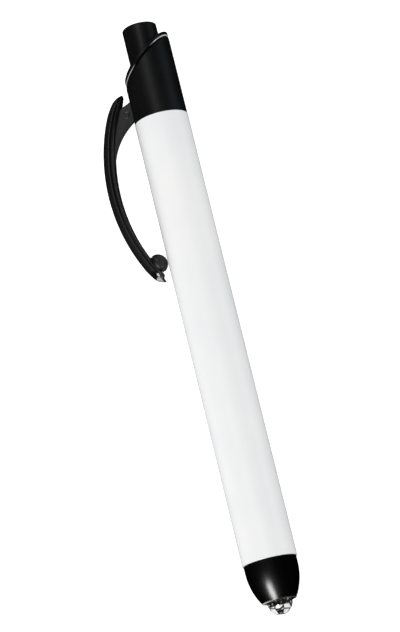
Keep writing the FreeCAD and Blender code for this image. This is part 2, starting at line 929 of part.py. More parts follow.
def make_strap_bow():
    """The strap's crowned section swept round the centre of its curve."""
    body = new_body("clip_bow")
    sketch = new_sketch(body, "section", "XY_Plane")
    sketch.setExpression("AttachmentOffset.Base.x", bound("-1 * bow_centre"))
    sketch.setExpression("AttachmentOffset.Base.z", bound(below("bow_drop")))
    side = "strap_outer_arc - strap_crown"
    draw_outline(
        sketch,
        [
            ("strap_inner_arc", "-0.5 * strap_inner_width"),
            (side, "-0.5 * strap_width"),
            (side, "0.5 * strap_width", "crown_arc", -1),
            ("strap_inner_arc", "0.5 * strap_inner_width"),
        ],
    )
    bow = body.newObject("PartDesign::Revolution", "clip_bow_turn")
    bow.Profile = sketch
    bow.ReferenceAxis = (sketch, ["V_Axis"])
    bow.Midplane = True
    bow.setExpression("Angle", bound("bow_angle"))
    settle(bow)
    return body


def make_strap_outline():
    """The clip's outline in its own plane; it trims the bow to tail and tip."""
    body = new_body("clip_outline")
    add_slab(
        body,
        "pad",
        [
            clip_point("neck"),
            (*clip_point("pocket"), "strap_inner_arc - strap_trim", 1),
            clip_point("hook"),
            (*clip_point("nib"), "tip_nib", -1),
            (*clip_point("toe"), "tip_curve", -1),
            (*clip_point("heel"), "strap_outer_arc", -1),
            (*clip_point("crest"), "tail_curve", -1),
            (*clip_point("beak"), "tail_nib", -1),
        ],
        "strap_width + 1",
    )
    return body


def make_strap_plan():
    """The strap seen from outside: straight sides and two round ends."""
    body = new_body("clip_plan")
    sketch = new_sketch(body, "outline", "YZ_Plane")
    tail = above("tail_shoulder")
    tip = below("tip_shoulder")
    draw_outline(
        sketch,
        [
            ("-1 * end_half_width", tip),
            ("end_half_width", tip, "end_arc", -1),
            ("end_half_width", tail),
            ("-1 * end_half_width", tail, "end_arc", -1),
        ],
    )
    plan = body.newObject("PartDesign::Pad", "clip_plan_pad")
    plan.Profile = sketch
    plan.Length = CLIP_REACH
    settle(plan)
    return body


def make_clip_web():
    """Flat web from the housing to the strap, with its concave lower edge."""
    body = new_body("clip_web")
    root = "housing_radius + web_gap"
    add_slab(
        body,
        "pad",
        [
            (root, above("web_root")),
            (*clip_point("web_foot"), "web_arc", 1),
            clip_point("web_back"),
            clip_point("web_middle"),
            clip_point("web_top"),
            clip_point("notch"),
            (root, above("hinge_height")),
        ],
        "web_thickness",
    )
    return body


def make_clip_pad():
    """Raised pad inside the strap's end, under the dome."""
    body = new_body("clip_pad")
    corners = ("pad_back", "pad_top", "pad_side", "pad_foot", "pad_end")
    add_slab(body, "pad", [clip_point(name) for name in corners], "pad_width")
    return body


def make_pocket_clip():
    """Curved strap with thumb tail, web, pad and dome, one moulding."""
    blank = doc.addObject("Part::Common", "clip_blank")
    blank.Base = make_strap_outline()
    blank.Tool = make_strap_plan()
    settle(blank)
    strap = doc.addObject("Part::Common", "clip_strap")
    strap.Base = make_strap_bow()
    strap.Tool = blank
    settle(strap)
    dome = doc.addObject("Part::Sphere", "clip_dome")
    dome.setExpression("Radius", bound("dome_radius"))
    dome.setExpression("Placement.Base.x", bound("dome_across"))
    dome.setExpression("Placement.Base.z", bound(below("dome_drop")))
    clip = doc.addObject("Part::MultiFuse", "pocket_clip")
    clip.Label = "pocket_clip"
    clip.Shapes = [strap, make_clip_web(), make_clip_pad(), dome]
    return settle(clip)


def lay_down(pieces):
    """Lay the pen on the table: axis along Y, lens towards -Y, clip drooping to -X."""
    droop = math.radians(size("lying_angle"))
    axes = FreeCAD.Matrix()
    axes.A11, axes.A21, axes.A31 = -math.cos(droop), 0.0, -math.sin(droop)
    axes.A12, axes.A22, axes.A32 = -math.sin(droop), 0.0, math.cos(droop)
    axes.A13, axes.A23, axes.A33 = 0.0, 1.0, 0.0
    turn = FreeCAD.Placement(axes)
    for piece in pieces:
        piece.Placement = turn
    doc.recompute()
    clip = [piece for piece in pieces if piece.Label == "pocket_clip"][0]
    reach = clip.Shape.optimalBoundingBox(False)
    barrel = size("barrel_radius")
    if abs(reach.ZMin + barrel) > 0.05:
        raise RuntimeError("the clip misses the table by %.3f" % (reach.ZMin + barrel))
    middle_x = (reach.XMin + barrel) / 2
    half_length = size(above("button_height")) / 2
    shift = FreeCAD.Vector(-middle_x, -half_length, max(barrel, -reach.ZMin))
    for piece in pieces:
        piece.Placement = FreeCAD.Placement(shift, turn.Rotation)
    doc.recompute()


def check(pieces):
    """Stop if any object failed or any piece is empty or not a valid solid."""
    for item in doc.Objects:
        if "Invalid" in item.State or "Error" in item.State:
            raise RuntimeError("%s failed: %s" % (item.Name, item.State))
    for piece in pieces:
        shape = piece.Shape
        if shape.isNull() or not shape.isValid() or not shape.Solids:
            raise RuntimeError("bad shape: " + piece.Label)


def write(pieces):
    """Write one STEP file for each piece."""
    os.makedirs("parts", exist_ok=True)
    for piece in pieces:
        piece.Shape.exportStep("parts/" + piece.Label + ".step")


fill_sheet()
first_cell = TIP_END
second_cell = TIP_END + " + cell_length"
cells_end = TIP_END + " + 2 * cell_length"
pieces = [
    make_barrel(),
    make_nose_cone(),
    make_lamp_holder(),
    make_insulating_washer(),
    make_bulb_glass(),
    make_bulb_bead(),
    make_bulb_leads(),
    make_filament(),
    make_switch_housing(),
    make_push_button(),
    make_retaining_clip(),
    make_spring_seat(),
    make_return_spring(),
    make_contact_disc(),
    make_contact_ring(),
    make_contact_insulator(),
    make_centre_contact(),
    make_battery_spring(cells_end),
    make_pocket_clip(),
]
pieces += make_bulb_base()
pieces += make_cell("front", first_cell)
pieces += make_cell("rear", second_cell)
lay_down(pieces)
check(pieces)
write(pieces)
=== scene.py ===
"""A pocket penlight lying on a pale light table.

Everything is in metres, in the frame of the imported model. Places on the pen are given in its own
directions: along it from the bulb's lens to the button, towards the clip, and across the clip.
"""

import json
import math

import bmesh
import bpy
from mathutils import Matrix, Vector


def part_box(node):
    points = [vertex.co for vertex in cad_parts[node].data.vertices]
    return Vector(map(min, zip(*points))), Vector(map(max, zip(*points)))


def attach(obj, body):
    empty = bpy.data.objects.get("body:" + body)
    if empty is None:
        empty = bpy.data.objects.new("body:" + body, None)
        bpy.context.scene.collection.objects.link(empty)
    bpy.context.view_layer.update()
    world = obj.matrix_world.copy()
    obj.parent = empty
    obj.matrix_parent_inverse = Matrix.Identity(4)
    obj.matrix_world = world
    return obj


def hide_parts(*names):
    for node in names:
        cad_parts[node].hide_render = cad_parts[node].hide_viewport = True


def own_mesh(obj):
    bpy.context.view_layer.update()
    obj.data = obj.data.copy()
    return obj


MM = 0.001

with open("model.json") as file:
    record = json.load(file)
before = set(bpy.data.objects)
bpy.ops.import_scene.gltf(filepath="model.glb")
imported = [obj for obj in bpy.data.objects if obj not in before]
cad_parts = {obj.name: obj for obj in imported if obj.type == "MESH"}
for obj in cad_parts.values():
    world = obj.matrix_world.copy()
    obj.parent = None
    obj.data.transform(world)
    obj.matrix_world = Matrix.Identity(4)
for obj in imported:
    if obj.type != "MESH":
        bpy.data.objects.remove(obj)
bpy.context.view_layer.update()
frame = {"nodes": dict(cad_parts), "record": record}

# ---------------------------------------------------------------- the pen's own directions

CLIP_DROOP = math.radians(16.93)
TO_CLIP = Vector((-math.cos(CLIP_DROOP), 0.0, -math.sin(CLIP_DROOP)))
ACROSS = Vector((-math.sin(CLIP_DROOP), 0.0, math.cos(CLIP_DROOP)))
ALONG = Vector((0.0, 1.0, 0.0))

tube_low, tube_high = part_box("barrel_tube")
AXIS = Vector(((tube_low.x + tube_high.x) / 2, 0.0, (tube_low.z + tube_high.z) / 2))
REAR = tube_high.y
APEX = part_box("bulb_glass")[0].y

# The flange's underside crosses the axis this far behind the tube and falls towards the clip.
FLANGE_HEIGHT = 14.6 * MM
FLANGE_SLOPE = 0.786
# The clip's strap bows round this centre.
BOW_OUT = -28.7 * MM
BOW_Y = REAR - 14.5 * MM
# Stations behind the lens's apex: where its painted facets end, where its dark-painted foot with
# painted glints starts, and the nose's front rim.
LENS_CLEAR = APEX + 1.8 * MM
LENS_FOOT = APEX + 2.05 * MM
NOSE_RIM = APEX + 3.1 * MM
# The facets' pattern, moved to lie well on the lens.
FACET_SHIFT = Vector((5.37, 4.05, 1.42)) * MM
FACETS_PER_METRE = 560


def at(out, side, y):
    """The point this far from the pen's axis towards the clip and across it, at station y."""
    return AXIS + TO_CLIP * out + ACROSS * side + ALONG * y


BOW_CENTRE = at(BOW_OUT, 0, BOW_Y)


def bow(radius, degrees, side):
    """The point at this radius and angle about the centre of the clip's bow, in millimetres."""
    angle = math.radians(degrees)
    out = BOW_OUT + radius * MM * math.cos(angle)
    return at(out, side * MM, BOW_Y + radius * MM * math.sin(angle))


# ---------------------------------------------------------------- materials


class Graph:
    """A material's node tree with short ways to add nodes and link them."""

    def __init__(self, name):
        found = bpy.data.materials.get(name)
        self.material = found or bpy.data.materials.new(name)
        self.material.use_nodes = True
        self.nodes = self.material.node_tree.nodes
        self.links = self.material.node_tree.links
        self.nodes.clear()
        self.output = self.nodes.new("ShaderNodeOutputMaterial")
        self.place = self.nodes.new("ShaderNodeTexCoord").outputs["Object"]

    def shader(self, **sockets):
        """The Principled shader, with constants set on its own sockets."""
        node = self.nodes.new("ShaderNodeBsdfPrincipled")
        for name, value in sockets.items():
            node.inputs[name.replace("_", " ")].default_value = value
        self.links.new(node.outputs["BSDF"], self.output.inputs["Surface"])
        return node

    def noise(self, scale, detail=3.0, roughness=0.5, vector=None):
        """Smooth noise with this many features per metre."""
        node = self.nodes.new("ShaderNodeTexNoise")
        node.inputs["Scale"].default_value = scale
        node.inputs["Detail"].default_value = detail
        node.inputs["Roughness"].default_value = roughness
        self.links.new(vector or self.place, node.inputs["Vector"])
        return node.outputs["Fac"]

    def cells(self, scale):
        """Cellular noise: the distance to scattered points, this many per metre."""
        node = self.nodes.new("ShaderNodeTexVoronoi")
        node.inputs["Scale"].default_value = scale
        self.links.new(self.place, node.inputs["Vector"])
        return node.outputs["Distance"]

    def stretched(self, x, y, z):
        """The place scaled per axis, for grain that runs one way."""
        node = self.nodes.new("ShaderNodeMapping")
        node.inputs["Scale"].default_value = (x, y, z)
        self.links.new(self.place, node.inputs["Vector"])
        return node.outputs["Vector"]

    def ramp(self, value, *stops):
        """Colours by value: each stop is (position, colour) with a grey or an RGB triple."""
        node = self.nodes.new("ShaderNodeValToRGB")
        elements = node.color_ramp.elements
        while len(elements) < len(stops):
            elements.new(0.5)
        for element, (position, colour) in zip(elements, stops):
            element.position = position
            rgb = colour if isinstance(colour, tuple) else (colour,) * 3
            element.color = (*rgb, 1.0)
        self.links.new(value, node.inputs["Fac"])
        return node.outputs["Color"]

    def span(self, value, low, high, start=0.0, stop=1.0):
        """value from start..stop mapped to low..high."""
        node = self.nodes.new("ShaderNodeMapRange")
        node.inputs["From Min"].default_value = start
        node.inputs["From Max"].default_value = stop
        node.inputs["To Min"].default_value = low
        node.inputs["To Max"].default_value = high
        self.links.new(value, node.inputs["Value"])
        return node.outputs["Result"]

    def reach(self, direction):
        """How far the place lies in this direction from the frame's origin, in metres."""
        node = self.nodes.new("ShaderNodeVectorMath")
        node.operation = "DOT_PRODUCT"
        node.inputs[1].default_value = direction
        self.links.new(self.place, node.inputs[0])
        return node.outputs["Value"]

    def distance(self, point):
        """The distance of the place from a point, in metres."""
        node = self.nodes.new("ShaderNodeVectorMath")
        node.operation = "DISTANCE"
        node.inputs[1].default_value = point
        self.links.new(self.place, node.inputs[0])
        return node.outputs["Value"]

    def product(self, one, two):
        """one times two."""
        node = self.nodes.new("ShaderNodeMath")
        node.operation = "MULTIPLY"
        self.links.new(one, node.inputs[0])
        self.links.new(two, node.inputs[1])
        return node.outputs["Value"]

    def larger(self, one, two):
        """The larger of one and two."""
        node = self.nodes.new("ShaderNodeMath")
        node.operation = "MAXIMUM"
        self.links.new(one, node.inputs[0])
        self.links.new(two, node.inputs[1])
        return node.outputs["Value"]

    def mix(self, part, one, two):
        """one where part is 0 and two where it is 1; each is a socket, a grey or an RGB triple."""
        node = self.nodes.new("ShaderNodeMix")
        node.data_type = "RGBA"
        self.links.new(part, node.inputs["Factor"])
        for socket, value in ((node.inputs[6], one), (node.inputs[7], two)):
            if isinstance(value, bpy.types.NodeSocket):
                self.links.new(value, socket)
            else:
                rgb = value if isinstance(value, tuple) else (value,) * 3
                socket.default_value = (*rgb, 1.0)
        return node.outputs[2]

    def bump(self, height, distance, strength=1.0, under=None):
        """A bump of this depth in metres, on top of another bump if one is given."""
        node = self.nodes.new("ShaderNodeBump")
        node.inputs["Distance"].default_value = distance
        node.inputs["Strength"].default_value = strength
        self.links.new(height, node.inputs["Height"])
        if under:
            self.links.new(under, node.inputs["Normal"])
        return node.outputs["Normal"]

    def link(self, value, node, socket):
        """value into the socket of this name."""
        self.links.new(value, node.inputs[socket])


def white_enamel(name):
    """Smooth satin enamel: faint orange peel, tiny dust specks, slight warm and cool drift."""
    graph = Graph(name)
    shader = graph.shader(Roughness=0.34, Coat_Weight=0.25, Coat_Roughness=0.12)
    drift = graph.noise(45, 2.0)
    graph.link(
        graph.ramp(drift, (0.3, (0.80, 0.81, 0.82)), (0.7, (0.85, 0.85, 0.845))),
        shader,
        "Base Color",
    )
    graph.link(graph.span(graph.noise(600, 4.0), 0.28, 0.42), shader, "Roughness")
    peel = graph.bump(graph.noise(900, 2.0), 0.00002, 0.4)
    specks = graph.ramp(graph.cells(700), (0.03, 1.0), (0.12, 0.0))
    graph.link(graph.bump(specks, 0.00001, 0.35, peel), shader, "Normal")
    return graph.material


def satin_black(name, roughness=0.42, grain=1.0, tone=0.0032, painted_light=None):
    """Moulded black plastic with a fine spark-eroded grain; the last argument adds one piece's
    painted highlights and painted shade, and for the clip its glossier places.
    """
    graph = Graph(name)
    shader = graph.shader(Specular_IOR_Level=0.45)
    patches = graph.noise(120, 3.0)
    base = graph.ramp(
        patches,
        (0.3, (tone, tone * 1.02, tone * 1.02)),
        (0.7, (tone * 1.6, tone * 1.65, tone * 1.7)),
    )
    fine = graph.noise(2600, 3.0, 0.7)
    matt = graph.span(fine, roughness - 0.08, roughness + 0.1)
    pits = graph.bump(graph.cells(3400), 0.000012 * grain, 0.8)
    graph.link(graph.bump(fine, 0.00003 * grain, 0.55, pits), shader, "Normal")
    if painted_light:
        base, matt = painted_light(graph, base, matt)
    graph.link(base, shader, "Base Color")
    graph.link(matt, shader, "Roughness")
    return graph.material


def painted_flange_highlight(graph, base, matt):
    """The bevel under the flange, painted pale towards its two ends: a painted highlight standing
    in for the light it catches there.
    """
    crossing = AXIS + ALONG * (REAR + FLANGE_HEIGHT)
    normal = (TO_CLIP * FLANGE_SLOPE + ALONG).normalized()
    level = crossing.dot(normal)
    height = graph.reach(normal)
    near = graph.product(
        graph.span(height, 0.0, 1.0, level + 0.01 * MM, level + 0.03 * MM),
        graph.span(height, 1.0, 0.0, level + 0.11 * MM, level + 0.17 * MM),
    )
    middle = AXIS.dot(TO_CLIP)
    out = graph.reach(TO_CLIP)
    low_end = graph.span(out, 0.0, 1.0, middle + 2.0 * MM, middle + 3.0 * MM)
    high_end = graph.span(out, 0.0, 1.0, middle - 2.2 * MM, middle - 3.6 * MM)
    # Painted highlight: the narrow band under the flange is painted pale at both of its ends,
    # unevenly.
    painted_reflection = graph.product(near, graph.larger(low_end, high_end))
    patchy_painted_highlight = graph.product(painted_reflection, graph.span(graph.noise(1400, 3.0), 0.55, 1.0, 0.35, 0.6))
    return graph.mix(patchy_painted_highlight, base, (0.8, 0.81, 0.82)), matt


def clip_painted_light(graph, base, matt):
    """A web painted paler for the light its face catches, a painted highlight along the step,
    painted shade in the groove beside it, and a polished tip with painted highlights.
    """
    radius = graph.distance(BOW_CENTRE)
    web = graph.span(radius, 1.0, 0.0, 42.2 * MM, 42.5 * MM)

    def past(degrees, soft):
        """1 beyond this many degrees below the bow's middle, on the strap only."""
        turn = math.radians(degrees)
        towards = TO_CLIP * math.sin(turn) + ALONG * math.cos(turn)
        level = BOW_CENTRE.dot(towards)
        end = graph.span(graph.reach(towards), 1.0, 0.0, level - soft, level + soft)
        return graph.product(end, graph.span(radius, 0.0, 1.0, 43.0 * MM, 43.6 * MM))

    # Painted light: the web is painted paler, standing in for the light its flat face catches.
    base = graph.mix(web, base, (0.0095, 0.0102, 0.0104))
    # Painted highlight: a pale line painted along the strap's step.
    step = graph.product(
        graph.span(radius, 0.0, 1.0, 43.5 * MM, 43.56 * MM),
        graph.span(radius, 1.0, 0.0, 43.7 * MM, 43.78 * MM),
    )
    base = graph.mix(step, base, (0.017, 0.0175, 0.017))
    # Painted shade: the groove beside the step is painted darker from just below the bow's middle
    # towards the tail, and made glossier there.
    painted_shade_hollow = graph.product(
        graph.span(radius, 0.0, 1.0, 43.02 * MM, 43.1 * MM),
        graph.span(radius, 1.0, 0.0, 43.42 * MM, 43.5 * MM),
    )
    fade = graph.span(graph.reach(ALONG), 0.0, 1.0, BOW_Y - 8.5 * MM, BOW_Y - 3.0 * MM)
    painted_shade_hollow = graph.product(painted_shade_hollow, fade)
    base = graph.mix(painted_shade_hollow, base, 0.003)
    matt = graph.mix(painted_shade_hollow, matt, 0.27)
    # Painted highlights: a pale spot by the tip and a pale band along the tip's outer edge on the
    # ejector mark's side, both uneven.
    bead = graph.span(graph.distance(bow(43.6, -30.1, 1.9)), 1.0, 0.0, 0.3 * MM, 0.5 * MM)
    middle = AXIS.dot(ACROSS)
    upper = graph.span(graph.reach(ACROSS), 0.0, 1.0, middle + 0.15 * MM, middle + 0.5 * MM)
    end = graph.product(past(30.4, 0.12 * MM), upper)
    outer = graph.span(radius, 0.0, 1.0, 43.75 * MM, 43.95 * MM)
    tip_painted_highlight = graph.larger(graph.product(end, outer), bead)
    patchy_painted_highlight = graph.product(tip_painted_highlight, graph.span(graph.noise(1600, 2.0), 0.6, 1.0, 0.35, 0.6))
    base = graph.mix(patchy_painted_highlight, base, (0.5, 0.51, 0.51))
    return base, graph.mix(past(28.3, 0.5 * MM), matt, 0.13)


def gloss_black(name, rim=False):
    """Polished black plastic with hairline scuffs; rim adds a pale painted highlight along the
    nose's front rim, strongest on the clip's side.
    """
    graph = Graph(name)
    shader = graph.shader(Specular_IOR_Level=0.5)
    base = graph.ramp(graph.noise(80), (0.3, 0.0003), (0.7, 0.0007))
    if rim:
        # Painted highlight: a pale line on the nose's front rim, strongest on the clip's side.
        edge = graph.span(graph.reach(ALONG), 1.0, 0.0, NOSE_RIM + 0.1 * MM, NOSE_RIM + 0.2 * MM)
        middle = AXIS.dot(TO_CLIP)
        side = graph.span(graph.reach(TO_CLIP), 0.1, 1.0, middle, middle + 2.4 * MM)
        base = graph.mix(graph.product(edge, side), base, (0.5, 0.5, 0.48))
    graph.link(base, shader, "Base Color")
    scuffs = graph.noise(900, 6.0, 0.8, graph.stretched(1.0, 0.15, 1.0))
    graph.link(graph.span(scuffs, 0.22, 0.34), shader, "Roughness")
    graph.link(graph.bump(graph.noise(1500, 4.0), 0.000006, 0.4), shader, "Normal")
    return graph.material


def clear_glass(name, tint=(1.0, 1.0, 1.0), roughness=0.0):
    """Pressed clear glass with a faint waviness."""
    graph = Graph(name)
    shader = graph.shader(
        Base_Color=(*tint, 1.0), Roughness=roughness, IOR=1.5, Transmission_Weight=1.0
    )
    graph.link(graph.bump(graph.noise(350, 2.0), 0.00002, 0.25), shader, "Normal")
    return graph.material


def faceted_glass(name):
    """The bulb's glass: pressed facets with a painted white reflection, parted by painted dark
    lines, and a foot painted dark with brown and white painted glints, standing in for the holder
    seen through it.
    """
    graph = Graph(name)
    shader = graph.shader(Roughness=0.02, IOR=1.5)
    seat = graph.nodes.new("ShaderNodeMapping")
    seat.inputs["Location"].default_value = FACET_SHIFT - ALONG * APEX
    graph.link(graph.place, seat, "Vector")
    facets = graph.nodes.new("ShaderNodeTexVoronoi")
    facets.feature = "DISTANCE_TO_EDGE"
    facets.inputs["Scale"].default_value = FACETS_PER_METRE
    facets.inputs["Randomness"].default_value = 0.8
    graph.link(seat.outputs["Vector"], facets, "Vector")
    gap = facets.outputs["Distance"]
    foot = graph.span(graph.reach(ALONG), 1.0, 0.0, LENS_CLEAR, LENS_FOOT)
    cloudy = graph.span(graph.noise(900, 3.0), 0.8, 1.0, 0.35, 0.5)
    # Painted reflection: the facets are painted white, unevenly, with dark lines between them.
    painted_reflection = graph.product(graph.product(graph.span(gap, 0.0, 1.0, 0.04, 0.1), foot), cloudy)
    # Painted glints on the foot, which is painted dark: brown and white glints standing in for the
    # holder seen through the glass.
    glints = graph.ramp(
        graph.noise(1300, 2.0),
        (0.47, (0.012, 0.011, 0.01)),
        (0.53, (0.07, 0.052, 0.04)),
        (0.58, (0.03, 0.026, 0.022)),
        (0.63, (0.7, 0.7, 0.68)),
    )
    lines = graph.mix(foot, glints, (0.03, 0.032, 0.034))
    graph.link(graph.mix(painted_reflection, lines, (0.97, 0.98, 0.98)), shader, "Base Color")
    graph.link(graph.span(painted_reflection, 0.5, 0.12), shader, "Transmission Weight")
    graph.link(graph.bump(gap, 0.0001, 0.3), shader, "Normal")
    return graph.material


def metal(name, colour, roughness, grain_along=0.1, scale=1500):
    """Bare or plated metal with turning or drawing marks and slight tarnish."""
    graph = Graph(name)
    shader = graph.shader(Metallic=1.0)
    dull = tuple(value * 0.72 for value in colour)
    graph.link(
        graph.ramp(graph.noise(260, 4.0), (0.35, dull), (0.65, colour)), shader, "Base Color"
    )
    lines = graph.noise(scale, 3.0, 0.6, graph.stretched(1.0, grain_along, 1.0))
    graph.link(graph.span(lines, roughness * 0.7, roughness * 1.4), shader, "Roughness")
    graph.link(graph.bump(lines, 0.00001, 0.3), shader, "Normal")
    return graph.material


def dull_solid(name, colour, roughness=0.55, scale=1200):
    """Unpolished nylon, fibre or pressed material with a mottled colour."""
    graph = Graph(name)
    shader = graph.shader()
    dark = tuple(value * 0.8 for value in colour)
    mottle = graph.noise(scale, 5.0)
    graph.link(graph.ramp(mottle, (0.3, dark), (0.7, colour)), shader, "Base Color")
    rough = graph.span(graph.noise(scale * 2), roughness - 0.1, roughness + 0.1)
    graph.link(rough, shader, "Roughness")
    graph.link(graph.bump(graph.noise(scale * 1.5, 4.0), 0.00003, 0.4), shader, "Normal")
    return graph.material


MATERIALS = {
    "white_enamel": white_enamel("white_enamel"),
    "satin_black": satin_black("satin_black"),
    "button_black": satin_black("button_black", 0.4, 0.7, painted_light=painted_flange_highlight),
    "clip_black": satin_black("clip_black", 0.42, 1.0, 0.0036, clip_painted_light),
    "gloss_black": gloss_black("gloss_black", rim=True),
    "bulb_glass": faceted_glass("bulb_glass"),
    "bead_glass": clear_glass("bead_glass", (0.7, 0.86, 0.9), 0.1),
    "base_glass": gloss_black("base_glass"),
    "brass": metal("brass", (0.78, 0.56, 0.24), 0.26),
    "contact_bronze": metal("contact_bronze", (0.74, 0.48, 0.28), 0.3),
    "solder": metal("solder", (0.6, 0.6, 0.61), 0.4, 1.0),
    "nickel_wire": metal("nickel_wire", (0.72, 0.7, 0.66), 0.2),
    "tungsten": metal("tungsten", (0.35, 0.35, 0.36), 0.35, 1.0),
    "spring_steel": metal("spring_steel", (0.66, 0.66, 0.67), 0.22),
    "cell_steel": metal("cell_steel", (0.6, 0.6, 0.61), 0.3),
    "cell_nickel": metal("cell_nickel", (0.76, 0.75, 0.72), 0.15),
    "cell_jacket": dull_solid("cell_jacket", (0.1, 0.13, 0.18), 0.3, 500),
    "nylon": dull_solid("nylon", (0.83, 0.82, 0.77)),
    "fibre": dull_solid("fibre", (0.42, 0.17, 0.1), 0.8, 2000),
}


def finish_cad_nodes():
    """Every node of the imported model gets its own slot's material."""
    for subpart in frame["record"]["subparts"]:
        node = frame["nodes"][subpart["node"]]
        for index in range(len(node.material_slots)):
            node.material_slots[index].material = MATERIALS[subpart["material_slot"]]


finish_cad_nodes()

# ---------------------------------------------------------------- meshes


def loft(rings):
    """A closed shell through rings of points, capped at both ends."""
    mesh = bmesh.new()
    loops = [[mesh.verts.new(point) for point in ring] for ring in rings]
    count = len(rings[0])
    for one, two in zip(loops, loops[1:]):
        for index in range(count):
            after = (index + 1) % count
            mesh.faces.new((one[index], one[after], two[after], two[index]))
    mesh.faces.new(loops[0])
    mesh.faces.new(loops[-1])
    bmesh.ops.recalc_face_normals(mesh, faces=mesh.faces)
    return mesh


def plate(outline, half, edge):
    """A flat plate with rounded rims; outline is (out, y) pairs, half its thickness."""
    mesh = bmesh.new()
    face = mesh.faces.new([mesh.verts.new(at(out, -half, y)) for out, y in outline])
    top = bmesh.ops.extrude_face_region(mesh, geom=[face])["geom"]
    corners = [item for item in top if isinstance(item, bmesh.types.BMVert)]
    bmesh.ops.translate(mesh, verts=corners, vec=ACROSS * 2 * half)
    bmesh.ops.recalc_face_normals(mesh, faces=mesh.faces)
    big = sorted(mesh.faces, key=lambda item: item.calc_area())[-2:]
    rims = [item for found in big for item in found.edges]
    bmesh.ops.bevel(mesh, geom=rims, offset=edge, segments=3, profile=0.5, affect="EDGES")
    return mesh


def turned(profile, centre, axis, start, steps=64):
    """A solid of revolution: profile is (distance from the axis, height) pairs."""
    mesh = bmesh.new()
    across = axis.cross(start).normalized()
    rings = []
    for away, height in profile:
        middle = centre + axis * height
        angles = [2 * math.pi * step / steps for step in range(steps)]
        rings.append(
            [middle + (start * math.cos(turn) + across * math.sin(turn)) * away for turn in angles]
        )
    return loft(rings)


def as_object(name, mesh, smooth=40):
    """A mesh object from a bmesh, smooth except across edges sharper than this angle."""
    data = bpy.data.meshes.new(name)
    mesh.to_mesh(data)
    mesh.free()
    data.shade_smooth()
    data.set_sharp_from_angle(angle=math.radians(smooth))
    piece = bpy.data.objects.new(name, data)
    bpy.context.scene.collection.objects.link(piece)
    return piece


def combine(piece, tool, operation):
    """Joins tool to piece, or cuts it away, and removes the tool."""
    modifier = piece.modifiers.new("combine", "BOOLEAN")
    modifier.operation = operation
    modifier.solver = "EXACT"
    modifier.object = tool
    graph = bpy.context.evaluated_depsgraph_get()
    data = bpy.data.meshes.new_from_object(piece.evaluated_get(graph))
    piece.modifiers.clear()
    piece.data = data
    bpy.data.objects.remove(tool)


def between(table, value):
    """The value of a table of (place, value) pairs at this place, by straight lines."""
    for (low, first), (high, second) in zip(table, table[1:]):
        if value <= high:
            return first + (second - first) * max(value - low, 0) / (high - low)
    return table[-1][1]


# ---------------------------------------------------------------- the pocket clip

STRAP_HALF_WIDTH = 2.2

# The strap's section from the middle of its inner face to the middle of its outer face, as parts
# of its thickness and of its half width: a rounded inner edge, a shallow step and a crowned face.
STRAP_SECTION = [
    (0.0, 0.0), (0.0, 0.45), (0.007, 0.595), (0.037, 0.714), (0.081, 0.8), (0.13, 0.852),
    (0.167, 0.871), (0.204, 0.862), (0.259, 0.805), (0.3, 0.775), (0.326, 0.775), (0.345, 0.82),
    (0.358, 0.9), (0.372, 0.965), (0.395, 0.997), (0.43, 1.0), (0.474, 0.975), (0.556, 0.905),
    (0.667, 0.819), (0.796, 0.667), (0.904, 0.476), (0.978, 0.238), (1.0, 0.0),
]
# Radii about the bow's centre in millimetres, by degrees from the tip to the tail.
STRAP_OUTSIDE = [
    (-32.6, 43.66), (-32.2, 44.0), (-31.6, 44.35), (-31.0, 44.65), (-30.4, 44.9), (-29.8, 45.0),
    (-28.4, 45.1), (-26.0, 45.2), (22.0, 45.2), (25.0, 45.15), (27.6, 44.95), (28.9, 44.8),
    (29.6, 44.6), (30.3, 44.4), (31.0, 44.1), (31.9, 43.5), (32.3, 43.1),
]
STRAP_INSIDE = [
    (-32.6, 43.42), (-31.0, 43.2), (-30.5, 42.6), (-30.0, 42.5), (29.0, 42.45), (31.7, 42.7),
    (32.3, 42.98),
]
STRAP_STATIONS = (
    [-32.6, -32.4, -32.2, -31.9, -31.5, -31.0, -30.5, -30.0, -29.5, -29.0, -28.0, -27.0]
    + [-26.0 + 1.25 * step for step in range(41)]
    + [25.0, 26.0, 27.0, 28.0, 29.0, 29.6, 30.2, 30.8, 31.3, 31.7, 32.0, 32.2, 32.3]
)
TIP_ROUNDS_FROM, TIP_END = -27.0, -32.7
TAIL_ROUNDS_FROM, TAIL_END = 25.0, 32.4

# The web between the strap and the housing, as (towards the clip, behind the tube) in millimetres.
WEB_HALF_THICKNESS, WEB_ROUNDING = 0.6, 0.18
WEB_HEEL = (5.9, 1.75)
WEB_UNDERSIDE = ((6.35, 1.5), (12.95, -2.55), (13.72, -10.8))
WEB_UNDERSIDE_STEPS = 28
WEB_TOP = [
    (14.4, -10.8), (13.4, -3.0), (9.9, 5.0), (9.2, 5.3), (8.4, 5.5), (6.35, 6.32), (5.9, 6.5),
]

# The grip dome near the tip, and the collar it stands on as (radius, height) in millimetres.
DOME_DEGREES, DOME_RADIUS, DOME_SEAT = -26.74, 2.35, 42.05
DOME_COLLAR = [
    (1.4, -0.6), (2.1, -0.6), (2.2, -0.42), (1.86, -0.36), (2.26, -0.3), (2.3, -0.08),
    (1.96, -0.02), (2.33, 0.06),
]

# The ejector's mark on the web: an open ring, its place and sizes in millimetres and its arc in
# degrees.
MARK_OUT, MARK_BEHIND, MARK_RADIUS, MARK_GROOVE = 7.7, 3.4, 0.72, 0.17
MARK_FROM, MARK_STEP, MARK_STEPS = 40, 10, 29


def strap_half_width(degrees):
    """Half the strap's width, in millimetres, with both ends rounded off."""
    tip = (degrees - TIP_ROUNDS_FROM) / (TIP_END - TIP_ROUNDS_FROM)
    tail = (degrees - TAIL_ROUNDS_FROM) / (TAIL_END - TAIL_ROUNDS_FROM)
    return STRAP_HALF_WIDTH * math.sqrt(1 - max(tip, tail, 0.0) ** 2.2)


